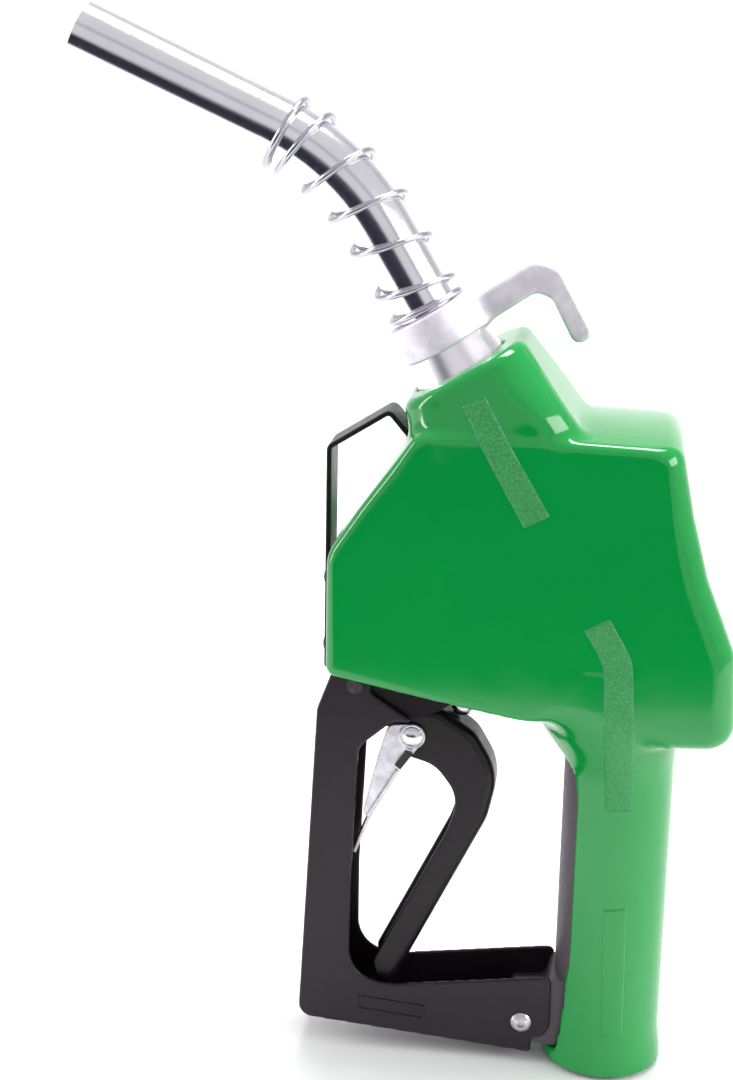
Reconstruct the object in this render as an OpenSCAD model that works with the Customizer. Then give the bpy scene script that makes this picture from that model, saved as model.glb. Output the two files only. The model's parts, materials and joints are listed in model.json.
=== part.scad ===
// Automatic fuel nozzle: cast body in a moulded cover, bent spout with a
// wire spring and a hang-up hook, squeeze lever in a channel guard.
// Millimetres. Origin: centre of the hose inlet at the handle's lower end.
// +Z runs up the handle, +X away from the guard, Y across the nozzle.

/* [Handle] */
// Outer radius of the cover around the handle
grip_r = 20; // [19.8:0.1:20.4]
// Outer radius of the cast handle tube
tube_r = 17.6; // [17.2:0.1:17.7]
// Radius of the flow passage in the handle
passage_r = 11; // [9:0.5:11.5]
// Radius of the hose inlet thread at its mean diameter
inlet_r = 12.6; // [12:0.1:13]
// Length of the hose inlet thread
inlet_len = 18; // [14:1:20]

/* [Spout] */
// Outer radius of the spout tube
spout_r = 10.32; // [10.2:0.01:10.34]
// Wall of the spout tube
spout_wall = 1.2; // [0.8:0.1:1.6]
// Angle between the neck and the handle
neck_tilt = 31; // [29:0.5:33]
// Bend of the spout
spout_bend = 35; // [30:1:40]
// Centre-line radius of the spout bend
bend_r = 80; // [70:1:90]
// Straight length beyond the bend
tip_len = 70.5; // [60:0.5:80]

/* [Cover] */
// Half width of the cover's body
cover_half = 33; // [32:0.5:34]
// Edge radius of the cover's body
cover_edge = 9; // [7:0.5:10]
// Wall of the cover
cover_wall = 2.2; // [1.8:0.1:2.4]

/* [Lever and guard] */
// Half width of the guard over its plates
guard_half = 13; // [12.8:0.1:13.2]
// Thickness of the guard's plates and web
guard_t = 1.8; // [1.4:0.1:1.8]
// Half width of the lever
lever_half = 8; // [7.8:0.1:8]
// Thickness of the lever's walls
lever_t = 2; // [1.6:0.1:2]
// Radius of the lever's pivot pin
pin_r = 2.5; // [2.4:0.05:2.6]

/* [Hidden] */
$fn = 64;
e = 0.01;
fit = 0.05;

// Places in the mid plane, as [x, z]
valve_at = [-50, 133];
valve_tilt = 33;
neck_at = [-58.3, 246.1];
plunger_x = -78;
pivot = [plunger_x, 125];
rivet = [-69.9, 117.8];
screw_at = [-28.3, 14.4];
riser_x = 8.5;
riser_r = 7.5;
outlet_x = -38;
// Height at which the casting and its cover divide into handle and body
divide_z = 125;
strap_z = [147, 171];

// The cover's neck: its offset, half length and half width, and its corners
neck_shift = 2.3;
neck_r = 22;
neck_half = 27.5;
neck_corner = 15;

// Stations along the neck's axis, from its mouth
neck_top = -1.5;
bush_low = -22;
collar_low = 8.1;
collar_top = 20.8;
bend_at = 50.7;

// Stations along the valve's axis, from the body's lower face
seat_s = 66;
cap_s = 86;
stem_tip = -6.45;

guard_in = guard_half - guard_t;
plate_gap = 0.3;
clip_t = 1;
clip_y = lever_half + plate_gap;

function cross2(a, b) = a[0] * b[1] - a[1] * b[0];
function unit(v) = v / norm(v);
function left_of(v) = [-v[1], v[0]];

// Corner c = [x, z, radius] between its neighbours, as an arc of points
function fillet(a, b, c, n) =
  let (p = [b[0], b[1]],
       u = unit([a[0], a[1]] - p),
       v = unit([c[0], c[1]] - p),
       half = acos(max(-1, min(1, u * v))) / 2,
       room = b[2] / tan(half),
       mid = p + unit(u + v) * b[2] / sin(half),
       s = p + u * room - mid,
       turn = (cross2(u, v) > 0 ? -1 : 1) * (180 - 2 * half))
  [for (i = [0:n])
     let (t = turn * i / n)
     mid + [s[0] * cos(t) - s[1] * sin(t), s[0] * sin(t) + s[1] * cos(t)]];

// A closed outline of corners; those with no radius stay sharp
function rounded(c, n = 6) =
  [for (i = [0:len(c) - 1])
     let (a = c[(i + len(c) - 1) % len(c)], b = c[i], d = c[(i + 1) % len(c)])
     each (b[2] == 0 ? [[b[0], b[1]]] : fillet(a, b, d, n))];

// An open path of corners; the end points stay
function rounded_path(c, n = 6) =
  [for (i = [0:len(c) - 1])
     each (i == 0 || i == len(c) - 1 || c[i][2] == 0
           ? [[c[i][0], c[i][1]]] : fillet(c[i - 1], c[i], c[i + 1], n))];

// A clockwise outline moved inwards by d, or by its share of d at each point
function inset(p, d, share = undef) =
  [for (i = [0:len(p) - 1])
     let (a = p[(i + len(p) - 1) % len(p)], b = p[i], c = p[(i + 1) % len(p)],
          m = unit(unit(b - a) + unit(c - b)),
          k = m * unit(c - b))
     b - left_of(m) * d * (is_undef(share) ? 1 : share[i]) / max(k, 0.4)];

// An open path thickened by t on its right hand
function band(p, t) =
  let (n = len(p),
       q = [for (i = [0:n - 1])
              let (f = i == 0 ? unit(p[1] - p[0]) : unit(p[i] - p[i - 1]),
                   g = i == n - 1 ? f : unit(p[i + 1] - p[i]),
                   m = unit(f + g))
              p[i] - left_of(m) * t / (m * g)])
  concat(p, [for (i = [n - 1:-1:0]) q[i]]);

// Extrude a mid-plane outline across Y
module across(y0, y1) {
  translate([0, y1, 0]) rotate([90, 0, 0]) linear_extrude(y1 - y0) children();
}

module plate(points, y0, y1) {
  across(y0, y1) polygon(points);
}

// A bar of radius r across Y at a mid-plane point
module cross_bar(at, r, y0, y1) {
  translate([at[0], y1, at[1]]) rotate([90, 0, 0]) cylinder(r = r, h = y1 - y0);
}

module on_valve(s = 0) {
  translate([valve_at[0], 0, valve_at[1]]) rotate([0, valve_tilt, 0])
    translate([0, 0, s]) children();
}

module on_neck(w = 0) {
  translate([neck_at[0], 0, neck_at[1]]) rotate([0, -neck_tilt, 0])
    translate([0, 0, w]) children();
}

module on_plunger(z = 0) {
  translate([plunger_x, 0, z]) children();
}

module ring(r_out, r_in, h) {
  difference() {
    cylinder(r = r_out, h = h);
    translate([0, 0, -e]) cylinder(r = r_in, h = h + 2 * e);
  }
}

module o_ring(r, wire) {
  rotate_extrude() translate([r, 0]) circle(r = wire);
}

// A round wire along a list of points; the section keeps its side facing "out"
function wire_rings(p, out, r, sides) =
  [for (i = [0:len(p) - 1])
     let (t = unit(p[min(i + 1, len(p) - 1)] - p[max(i - 1, 0)]),
          a = unit(out[i] - t * (out[i] * t)),
          b = cross(t, a))
     [for (k = [0:sides - 1])
        p[i] + r * (cos(360 * k / sides) * a + sin(360 * k / sides) * b)]];

module wire(p, out, r, sides = 8) {
  rings = wire_rings(p, out, r, sides);
  n = len(p);
  polyhedron(
    points = [for (q = rings) each q],
    faces = concat(
      [[for (k = [0:sides - 1]) k]],
      [[for (k = [sides - 1:-1:0]) (n - 1) * sides + k]],
      [for (i = [0:n - 2]) for (k = [0:sides - 1])
         each [[i * sides + k, (i + 1) * sides + k, (i + 1) * sides + (k + 1) % sides],
               [i * sides + k, (i + 1) * sides + (k + 1) % sides, i * sides + (k + 1) % sides]]]),
    convexity = 6);
}

// A compression spring standing on z = 0
module coil_spring(r, wire_r, h, turns, steps = 10) {
  n = round(turns * steps);
  rise = h - 2 * wire_r;
  wire([for (i = [0:n]) [r * cos(360 * i / steps), r * sin(360 * i / steps),
                         wire_r + rise * i / n]],
       [for (i = [0:n]) [cos(360 * i / steps), sin(360 * i / steps), 0]],
       wire_r, 6);
}

// ---- Spout centre line, in the neck's frame ----
bend_len = bend_r * spout_bend * PI / 180;
function spine_turn(u) = max(0, min(spout_bend, (u - bend_at) / bend_r * 180 / PI));
function spine(u) =
  let (t = spine_turn(u),
       arc = [-bend_r * (1 - cos(t)), 0, bend_r * sin(t)],
       low = min(u, bend_at),
       rest = max(0, u - bend_at - bend_len))
  [arc[0] - rest * sin(t), 0, low + arc[2] + rest * cos(t)];
function spine_side(u) = let (t = spine_turn(u)) [cos(t), 0, sin(t)];

// A rod along the centre line; its straights reach a little into the bend
bend_step = 0.03;
module bent_rod(r, from, tip) {
  translate([0, 0, from]) cylinder(r = r, h = bend_at - from + 0.5);
  translate([-bend_r, 0, bend_at]) rotate([90, 0, 0])
    rotate_extrude(angle = spout_bend) translate([bend_r, 0]) circle(r = r + bend_step);
  translate(spine(bend_at + bend_len)) rotate([0, -spout_bend, 0])
    translate([0, 0, -0.5]) cylinder(r = r, h = tip + 0.5);
}

module at_tip(back) {
  translate(spine(bend_at + bend_len + tip_len - back)) rotate([0, -spout_bend, 0]) children();
}

// ---- Cover ----
body_corners = [[-97.4, 145.8, 4], [-97.4, 187.4, 14], [-68.8, 231, 8], [-30, 231, 12],
  [15.4, 229.4, 9], [20.2, 205, 40], [26, 184, 40], [36.6, 158, 20], [38, 126.6, 9],
  [16, 125.5, 6], [-26, 133.2, 6]];
// The edges are rounded fully at the back and less elsewhere
edge_share = [for (q = body_corners) q[0] > 12 ? 1 : 0.42];

// A cornered outline moved inward, its corner radii changing to suit
function inset_corners(c, d, share = undef) =
  let (n = len(c), p = [for (q = c) [q[0], q[1]]], w = inset(p, d, share))
  [for (i = [0:n - 1])
     let (turn = cross(p[i] - p[(i + n - 1) % n], p[(i + 1) % n] - p[i]),
          e = d * (is_undef(share) ? 1 : share[i]))
     [w[i][0], w[i][1], max(0.8, c[i][2] + (turn < 0 ? -e : e))]];

// The cover's body: an outline whose edges round over towards both sides
module cushion(corners, half, edge, steps = 5) {
  n = len(rounded(corners, 5));
  levels = concat(
    [for (i = [0:steps]) let (a = 90 * i / steps)
       [-(half - edge + edge * cos(a)), edge * (1 - sin(a))]],
    [for (i = [steps:-1:0]) let (a = 90 * i / steps)
       [half - edge + edge * cos(a), edge * (1 - sin(a))]]);
  m = len(levels);
  polyhedron(
    points = [for (l = levels)
                for (q = rounded(inset_corners(corners, l[1], edge_share), 5)) [q[0], l[0], q[1]]],
    faces = concat(
      [[for (k = [0:n - 1]) k]],
      [[for (k = [n - 1:-1:0]) (m - 1) * n + k]],
      [for (i = [0:m - 2]) for (k = [0:n - 1])
         each [[i * n + k, (i + 1) * n + (k + 1) % n, i * n + (k + 1) % n],
               [i * n + k, (i + 1) * n + k, (i + 1) * n + (k + 1) % n]]]),
    convexity = 6);
}

// Handle: flared at its lower end, straight, then swelling into the body
module handle_shape(in) {
  stations = [[in > 0 ? -6 : -0.5, 1, 0], [14, 0, 0], [113, 0, 0], [132, 8, -6]];
  for (i = [0:2]) hull() for (q = [stations[i], stations[i + 1]])
    translate([q[2], 0, q[0]]) cylinder(r = grip_r + q[1] - in, h = 1, $fn = 48);
}

module cover_shape(in) {
  cushion(inset_corners(body_corners, in), cover_half - in, cover_edge - in * 0.8);
  // Top of the handle
  hull() {
    translate([0, 0, 113 - 3 * in]) cylinder(r = grip_r - in, h = 1, $fn = 48);
    translate([-6, 0, 132]) cylinder(r = grip_r + 8 - in, h = 1, $fn = 48);
  }
  // Neck, widening down into the body
  hull() {
    on_neck(-5.5 - 1.6 * in) for (u = [-1, 1], y = [-1, 1])
      translate([neck_shift + u * (neck_r - neck_corner), y * (neck_half - neck_corner), 0])
        for (q = [[0, 2.5], [0.9, 4.6], [3, 5.5]])
          cylinder(r = neck_corner - q[0] - in, h = q[1], $fn = 32);
    on_neck(-42) translate([neck_shift - 25 + in, -cover_half + in + 2, 0])
      cube([50 - 2 * in, 2 * (cover_half - in - 2), 4]);
  }
}

// Slot down the handle for the guard's lug, closed at its lower end
module handle_slot() {
  translate([-40, 0, 0]) rotate([90, 0, 90]) linear_extrude(39)
    polygon([[-12.2, 4.4], [12.2, 4.4], [15, 45], [15, 138], [-15, 138], [-15, 45]]);
}

module cover() color([0.06, 0.58, 0.26]) difference() {
  cover_shape(0);
  cover_shape(cover_wall);
  translate([-40, -40, divide_z - 20]) cube([90, 80, 20]);
  // Mouth around the spout bushing
  on_neck(-50) cylinder(r = 16.3, h = 70, $fn = 48);
  // Opening below the body for the guard, the lever and the valve stem
  translate([-110, -guard_half - 0.6, 100]) cube([74, 2 * guard_half + 1.2, 50]);
  handle_slot();
  // Slot for the hanger strap's end
  translate([-80.2, 0, 232]) rotate([0, 49.2, 0]) translate([6, -8.4, -2.1]) cube([12, 16.8, 2.5]);
  // Holes for the strap's screws
  for (z = strap_z) translate([-104, 0, z]) rotate([0, 90, 0]) cylinder(r = 2.4, h = 12, $fn = 24);
}

module handle_cover() color([0.06, 0.58, 0.26]) difference() {
  handle_shape(0);
  handle_shape(cover_wall);
  translate([-40, -40, divide_z]) cube([90, 80, 20]);
  handle_slot();
}

// ---- Body casting ----
module body_shape() {
  translate([0, 0, divide_z]) cylinder(r = tube_r, h = 134 - divide_z);
  translate([riser_x, 0, 128]) cylinder(r = riser_r + 3.2, h = 63);
  on_valve(36) cylinder(r = 18.6, h = 52);
  on_valve(5) cylinder(r = 9.5, h = 34);
  on_neck(-50) cylinder(r = 15.8, h = 50 + neck_top);
  translate([outlet_x, 0, 168]) cylinder(r = 11, h = 38);
  on_plunger(135) cylinder(r = 12, h = 34);
  on_plunger(158) cylinder(r = 16, h = 16);
  // Web that ties the chambers together
  plate([[-94.6, 150], [-94.6, 174], [-61.5, 174], [-61.5, 222], [-52, 232], [-28, 214],
         [0, 190], [14, 160], [14, 132], [-38, 142], [-60, 140]], -6, 6);
  plate([[-94.6, 138], [-94.6, 152], [-60, 152], [-40, 150], [-40, 140], [-62, 135]], -6, 6);
  // Fork that straddles the lever, between the guard's plates
  plate(rounded([[-94.6, 139.6, 0], [-94.6, 153, 0], [-56, 153, 0], [-56, 132, 3],
                 [-60, 128.8, 2], [-70, 124.4, 3], [-80, 121.5, 3], [-88, 127, 3]]),
        -guard_in, guard_in);
}

// Riser from the handle's passage to the upper chamber
module riser() {
  translate([riser_x, 0, 112]) cylinder(r = riser_r, h = 76);
}

module body_casting() color([0.55, 0.53, 0.57]) difference() {
  body_shape();
  riser();
  // Valve chamber, its seat bore, stem bore and packing recess
  on_valve(40) cylinder(r = 15, h = 50);
  on_valve(2) cylinder(r = 3.2, h = 40);
  on_valve(2) cylinder(r = 6, h = 18);
  on_valve(-12) cylinder(r = 9, h = 17);
  // Outlet passage to the check valve
  translate([outlet_x, 0, 174]) cylinder(r = 8, h = 30);
  on_neck(-45) cylinder(r = 11, h = 24);
  on_neck(bush_low) cylinder(r = 12.4 + fit, h = 30);
  // Latch plunger's bore and chamber
  on_plunger(130) cylinder(r = 8.5, h = 36);
  on_plunger(165) cylinder(r = 11.5, h = 10);
  for (a = [45:90:315]) on_plunger(164) rotate(a) translate([13.4, 0, 0]) cylinder(r = 1.5, h = 11);
  // Room for the lever and its clip between the fork's walls
  plate([[-90, 110], [-90, 132], [-82, 135.5], [-50, 136], [-50, 110]], -9.6, 9.6);
  for (at = [[-89.5, 145.5], [-89.5, 136.5]]) cross_bar(at, 2.1, -20, 20);
  for (z = strap_z) translate([-98, 0, z]) rotate([0, 90, 0]) cylinder(r = 2.05, h = 6);
}

module handle_casting() color([0.55, 0.53, 0.57]) difference() {
  union() {
    cylinder(r = tube_r, h = divide_z);
    // Lug for the guard's lower screw
    plate(rounded([[-33, 6.5, 3], [-34, 20.5, 3], [-21.5, 21.5, 3], [-19, 30, 2], [-12, 31, 0],
                   [-12, 5, 0]]), -guard_in, guard_in);
  }
  // Hose inlet and the passage up the handle
  translate([0, 0, -e]) cylinder(r = inlet_r, h = inlet_len + e);
  translate([0, 0, inlet_len - e]) cylinder(r = passage_r, h = 120 - inlet_len + e);
  riser();
  cross_bar(screw_at, 2.55, -20, 20);
}

// ---- Spout group ----
module spout_tube() color([0.8, 0.8, 0.83]) on_neck() difference() {
  bent_rod(spout_r, 0.5, tip_len);
  bent_rod(spout_r - spout_wall, 0, tip_len + 1);
  // Sensing hole on the underside near the tip
  at_tip(12) translate([-spout_r, 0, 0]) rotate([0, 90, 0]) cylinder(r = 2.6, h = 6, center = true);
  // Hole for the set screw
  translate([0, 8, 4.5]) rotate([-90, 0, 0]) cylinder(r = 2.5, h = 5);
}

module spout_bushing() color([0.83, 0.83, 0.86]) on_neck() difference() {
  union() {
    translate([0, 0, neck_top]) cylinder(r1 = 16, r2 = 14.3, h = collar_low - neck_top);
    translate([0, 0, collar_low - e]) cylinder(r = 12.3, h = 11.9);
    translate([0, 0, bush_low]) cylinder(r = 12.4, h = neck_top - bush_low + e);
  }
  translate([0, 0, 0.5]) cylinder(r = spout_r + 0.02, h = 30);
  translate([0, 0, bush_low - 1]) cylinder(r = 8.6, h = 30);
  translate([0, 0, -6.1]) difference() {
    cylinder(r = 14, h = 2.2);
    translate([0, 0, -1]) cylinder(r = 10.6, h = 5);
  }
  translate([0, 9, 4.5]) rotate([-90, 0, 0]) cylinder(r = 2.5, h = 8);
}

module bushing_o_ring() color([0.1, 0.1, 0.1]) on_neck(-5) o_ring(11.5, 0.9);

module spout_set_screw() color([0.6, 0.6, 0.62]) on_neck(4.5) rotate([-90, 0, 0]) difference() {
  translate([0, 0, 9.3]) cylinder(r = 2.48, h = 4.7);
  translate([0, 0, 12]) cylinder(r = 1.4, h = 3, $fn = 6);
}

coil_r = spout_r + 2.05;
coil_wire = 1.05;
coil_turns = 6.6;
function coil_place(t) = collar_top
  + lookup(t, [[0, 1.3], [0.5, 2.6], [1, 6.2], [1.5, 12.5], [2, 21.5], [5, 66], [5.5, 71.4],
               [6, 74.2], [6.6, 76.6]]);
module spout_spring() color([0.78, 0.78, 0.82]) on_neck() {
  steps = 18;
  n = round(coil_turns * steps);
  path = [for (i = [0:n]) let (t = i / steps, u = coil_place(t), s = spine_side(u))
            spine(u) + coil_r * (cos(360 * t) * s - sin(360 * t) * [0, 1, 0])];
  out = [for (i = [0:n]) let (t = i / steps, s = spine_side(coil_place(t)))
           cos(360 * t) * s - sin(360 * t) * [0, 1, 0]];
  wire(path, out, coil_wire, 8);
}

hook_half = 4;
module hang_up_hook() color([0.78, 0.75, 0.8]) difference() {
  union() {
    on_neck(collar_low) cylinder(r = 15.2, h = collar_top - collar_low);
    plate(rounded([[-60.2, 253.4, 0], [-61.2, 259, 0], [-58.6, 268.2, 0], [-53.6, 269.4, 3],
                   [-34.6, 282.2, 7], [-26.2, 279.2, 6], [-14.4, 258.6, 3.2], [-20.4, 254, 3.2],
                   [-28.8, 269.6, 3.5], [-33.8, 271.6, 4], [-50.6, 260.2, 0]]), -hook_half, hook_half);
  }
  on_neck(collar_low - 9) cylinder(r = 12.35, h = 40);
  on_neck(collar_low - 9) cylinder(r = 14.6, h = 9);
}

vent_side = -(spout_r - spout_wall - 2.7);
module vent_tube() color([0.72, 0.72, 0.75]) on_neck() {
  last = bend_at + bend_len + tip_len - 15;
  n = 26;
  path = [for (i = [0:n]) let (u = -15 + (last + 15) * i / n) spine(u) + vent_side * spine_side(u)];
  wire(path, [for (p = path) [0, 1, 0]], 2, 10);
}

module vent_ferrule() color([0.75, 0.7, 0.5]) on_neck() difference() {
  at_tip(15) translate([vent_side, 0, 0]) union() {
    cylinder(r = 2.4, h = 5.6);
    translate([0, 0, 3]) rotate([0, -90, 0]) cylinder(r = 2.5, h = 3.4);
  }
  at_tip(12) translate([vent_side, 0, 0]) rotate([0, -90, 0]) cylinder(r = 1.3, h = 8);
}

// ---- Main valve ----
module seat_ring() color([0.75, 0.65, 0.35]) on_valve(seat_s - 3) ring(14.98, 9, 3);

module poppet_cap() color([0.7, 0.7, 0.72]) on_valve(cap_s) difference() {
  union() {
    cylinder(r = 14.95, h = 4.1);
    translate([0, 0, 4]) cylinder(r = 16.5, h = 4);
    translate([0, 0, 8]) cylinder(r = 11, h = 5, $fn = 6);
  }
  translate([0, 0, -e]) cylinder(r = 9, h = 5);
  translate([0, 0, -e]) cylinder(r = 3.1, h = 9.5);
  translate([0, 0, 1.1]) difference() {
    cylinder(r = 16, h = 1.9);
    translate([0, 0, -1]) cylinder(r = 13.2, h = 5);
  }
}

module cap_o_ring() color([0.1, 0.1, 0.1]) on_valve(cap_s + 2.05) o_ring(14.1, 0.85);

module poppet_spring() color([0.7, 0.7, 0.74]) on_valve(seat_s + 8.2) coil_spring(7.2, 0.75, 16.6, 4.5);

module stem_packing() color([0.12, 0.12, 0.12]) for (s = [12, 16]) on_valve(s) o_ring(4.5, 1.45);

module packing_nut() color([0.76, 0.66, 0.36]) on_valve(0) difference() {
  union() {
    cylinder(r = 8, h = 4.8, $fn = 6);
    translate([0, 0, 4.7]) cylinder(r = 5.95, h = 5.3);
  }
  translate([0, 0, -1]) cylinder(r = 3 + fit, h = 20);
  translate([0, 0, -1]) cylinder(r = 4.5, h = 5.6);
}

module main_stem() color([0.76, 0.76, 0.8]) on_valve() {
  translate([0, 0, stem_tip]) cylinder(r = 3, h = seat_s - stem_tip + 16);
  translate([0, 0, stem_tip]) sphere(r = 4);
}

module main_poppet() color([0.72, 0.62, 0.34]) on_valve(seat_s + 2.2) difference() {
  union() {
    cylinder(r = 12.5, h = 3.2);
    translate([0, 0, 3.1]) cylinder(r = 5.6, h = 3.7);
  }
  translate([0, 0, -1]) cylinder(r = 3, h = 12);
}

module poppet_seal() color([0.12, 0.12, 0.12]) on_valve(seat_s) ring(12, 3, 2.2);

module poppet_nut() color([0.7, 0.7, 0.72]) on_valve(seat_s + 9) difference() {
  cylinder(r = 5, h = 3, $fn = 6);
  translate([0, 0, -1]) cylinder(r = 3, h = 5);
}

// ---- Check valve in the neck ----
module check_seat() color([0.75, 0.65, 0.35]) on_neck(-45) ring(10.98, 6.5, 4);

module check_guide() color([0.7, 0.7, 0.72]) on_neck(-25) difference() {
  union() {
    ring(10.95, 9, 3);
    cylinder(r = 3.6, h = 3);
    for (a = [0:120:240]) rotate(a) translate([0, -1, 0]) cube([9.4, 2, 3]);
  }
  translate([0, 0, -1]) cylinder(r = 2 + fit, h = 5);
}

module check_spring() color([0.7, 0.7, 0.74]) on_neck(-37.9) coil_spring(3.1, 0.4, 12.8, 6);

module check_poppet() color([0.72, 0.62, 0.34]) on_neck() difference() {
  union() {
    translate([0, 0, -40.6]) cylinder(r = 8.2, h = 2.7);
    translate([0, 0, -38]) cylinder(r = 2, h = 20);
  }
  translate([0, 0, -41]) difference() {
    cylinder(r = 7.9, h = 1.7);
    translate([0, 0, -1]) cylinder(r = 6.6, h = 4);
  }
}

module check_o_ring() color([0.12, 0.12, 0.12]) on_neck(-40.15) o_ring(7.25, 0.62);

// ---- Latch and diaphragm ----
module diaphragm() color([0.15, 0.13, 0.13]) on_plunger(174) difference() {
  cylinder(r = 15.9, h = 1.2);
  for (a = [45:90:315]) rotate(a) translate([13.4, 0, -1]) cylinder(r = 1.6, h = 4);
}

module diaphragm_cap() color([0.68, 0.68, 0.7]) on_plunger(175.2) difference() {
  union() {
    cylinder(r = 16, h = 3.8);
    cylinder(r = 10.6, h = 10.6);
  }
  translate([0, 0, -e]) cylinder(r = 9, h = 9);
  for (a = [45:90:315]) rotate(a) translate([13.4, 0, -1]) cylinder(r = 1.6, h = 6);
}

module diaphragm_spring() color([0.7, 0.7, 0.74]) on_plunger(175.25) coil_spring(5.6, 0.45, 8.9, 3.5);

module cap_screws() color([0.62, 0.62, 0.65])
  for (a = [45:90:315]) on_plunger(166.5) rotate(a) translate([13.4, 0, 0]) difference() {
    union() {
      cylinder(r = 1.48, h = 12.6);
      translate([0, 0, 12.5]) cylinder(r = 2.4, h = 1.8);
    }
    translate([-2, -0.3, 13.5]) cube([4, 0.6, 2]);
  }

module latch_pin() color([0.75, 0.75, 0.78]) on_plunger(148) cylinder(r = 2.5, h = 23.5);

module diaphragm_plate() color([0.7, 0.7, 0.72]) on_plunger(171.5) cylinder(r = 8.5, h = 2.2);

module plunger_bush() color([0.72, 0.62, 0.34]) on_plunger(136.3) ring(8.48, 5.6 + fit, 10);

module latch_ring() color([0.6, 0.6, 0.63]) on_plunger(153) ring(8.48, 5.6 + fit, 5);

module plunger_spring() color([0.7, 0.7, 0.74]) on_plunger(146.4) coil_spring(7, 0.55, 6.4, 2.5);

ball_z = 159.6;
eye_r = 5.2;
eye_half = 4.6;
module latch_plunger() color([0.66, 0.66, 0.7]) difference() {
  union() {
    on_plunger(131) cylinder(r = 5.6, h = 32);
    on_plunger(pivot[1]) translate([-eye_r, -eye_half, 0]) cube([2 * eye_r, 2 * eye_half, 7]);
    cross_bar(pivot, eye_r, -eye_half, eye_half);
  }
  cross_bar(pivot, pin_r, -12, 12);
  on_plunger(142) cylinder(r = 2.5 + fit, h = 30);
  for (a = [0:120:240]) on_plunger(ball_z) rotate(a) rotate([0, 90, 0]) cylinder(r = 1.5, h = 9);
}

module latch_balls() color([0.8, 0.8, 0.84])
  for (a = [0:120:240]) on_plunger(ball_z) rotate(a) translate([4.07, 0, 0]) sphere(r = 1.48);

module lever_pin() color([0.75, 0.75, 0.78]) cross_bar(pivot, pin_r, -7.9, 7.9);

// ---- Lever ----
lever_back = rounded_path([[-69.6, 128.2, 0], [-61, 127.6, 8], [-48.3, 119.3, 14],
  [-39.8, 104.8, 20], [-43.4, 88, 22], [-71.3, 30, 6], [-75.4, 20.8, 3], [-80.8, 20.6, 2]], 8);
lever_outer = concat([[-79, 130]], lever_back);
lever_inner = rounded_path([[-80.8, 20.6, 2], [-82.4, 30.6, 4], [-57.2, 83, 14], [-53.2, 95.5, 13],
  [-62, 107, 12], [-71.2, 109.6, 0], [-76, 113, 2], [-76.4, 119.6, 0]], 8);
module lever() color([0.13, 0.12, 0.13]) difference() {
  union() {
    plate(band(lever_back, lever_t), -lever_half, lever_half);
    for (y = [-lever_half, lever_half - lever_t]) {
      plate(concat(lever_outer, lever_inner), y, y + lever_t);
      cross_bar(pivot, 5, y, y + lever_t);
    }
  }
  cross_bar(pivot, pin_r + fit, -12, 12);
  cross_bar(rivet, 2, -12, 12);
}

module clip_rivet() color([0.8, 0.8, 0.83]) {
  cross_bar(rivet, 2, -clip_y - clip_t - 0.02, lever_half + 0.02);
  intersection() {
    cross_bar(rivet, 3.3, -10.9, -clip_y - clip_t - 0.02);
    translate([rivet[0], -4.95, rivet[1]]) sphere(r = 5.8);
  }
  cross_bar(rivet, 3, lever_half + 0.01, lever_half + 1.1);
}

// ---- Hold-open clip ----
clip_edge = [[-75.2, 105.1], [-85.3, 87.2]];
clip_tip = [-91.2, 70.6];
module hold_open_clip() color([0.76, 0.75, 0.78]) difference() {
  union() {
    cross_bar(rivet, 4.6, -clip_y - clip_t, -clip_y);
    plate(rounded([[-70.2, 122.4, 0], [-78.4, 121.6, 3.5], [-81.6, 110, 4], [-86.6, 88.6, 1.6],
                   [-84.6, 86, 1.2], [-74, 105.6, 0], [-67.6, 113.8, 0]]),
          -clip_y - clip_t, -clip_y);
    // Flange folded along the clip's edge
    plate(band([clip_edge[0], clip_edge[1]], -1.2), -clip_y - clip_t, 3.5);
    // Tongue that enters the guard
    plate(band([clip_edge[0] * 0.1 + clip_edge[1] * 0.9, clip_tip], -1.6), -3.5, 3.5);
  }
  cross_bar(rivet, 2 + fit, -20, 20);
}

module clip_pad() color([0.08, 0.08, 0.08])
  plate([[-69.6, 111.6], [-72.2, 112.4], [-75.6, 107.4], [-73.6, 105.8]],
        -clip_y - clip_t - 1.2, -clip_y - clip_t);

module clip_spring() color([0.2, 0.2, 0.2]) {
  n = 36;
  turns = 3;
  coil = [for (i = [0:n]) let (a = 100 + 360 * turns * i / n)
            [rivet[0] + 3 * cos(a), -5.4 + 3.4 * i / n, rivet[1] + 3 * sin(a)]];
  wire(concat([[-80.6, -5.4, 122.4]], coil),
       [for (i = [0:n + 1]) [0, 1, 0]], 0.4, 6);
}

// ---- Guard ----
guard_back = rounded_path([[-97.3, 142, 0], [-102.8, 127, 8], [-108.3, 9.6, 5], [-24.6, 2.4, 0]], 5);
guard_outer = concat([[-91, 152], [-95.4, 146.2], [-96.4, 144.4]], guard_back);
guard_inner = rounded_path([[-24.6, 8.2, 0], [-20.6, 8.6, 2.5], [-18.2, 13, 2], [-18.2, 32.4, 2.5],
  [-74, 24.7, 8], [-90, 26, 12], [-90.2, 60, 30], [-88, 114, 6], [-76, 124.4, 6], [-67, 123.2, 1],
  [-84.2, 134.2, 2], [-84.2, 152, 0]], 5);
module guard() color([0.2, 0.17, 0.2]) difference() {
  union() {
    plate(band(guard_back, -guard_t), -guard_half, guard_half);
    for (y = [-guard_half, guard_in])
      plate(concat(guard_outer, guard_inner), y, y + guard_t);
    // Toothed rack that the clip's tongue catches
    plate([for (i = [0:3]) each [[-104.6, 60 + 8 * i], [-101, 61 + 8 * i], [-103.4, 67.8 + 8 * i]]],
          -guard_in, guard_in);
  }
  for (at = [[-89.5, 145.5], [-89.5, 136.5]]) cross_bar(at, 2.1, -20, 20);
  cross_bar(screw_at, 2.6, -20, 20);
}

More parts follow.
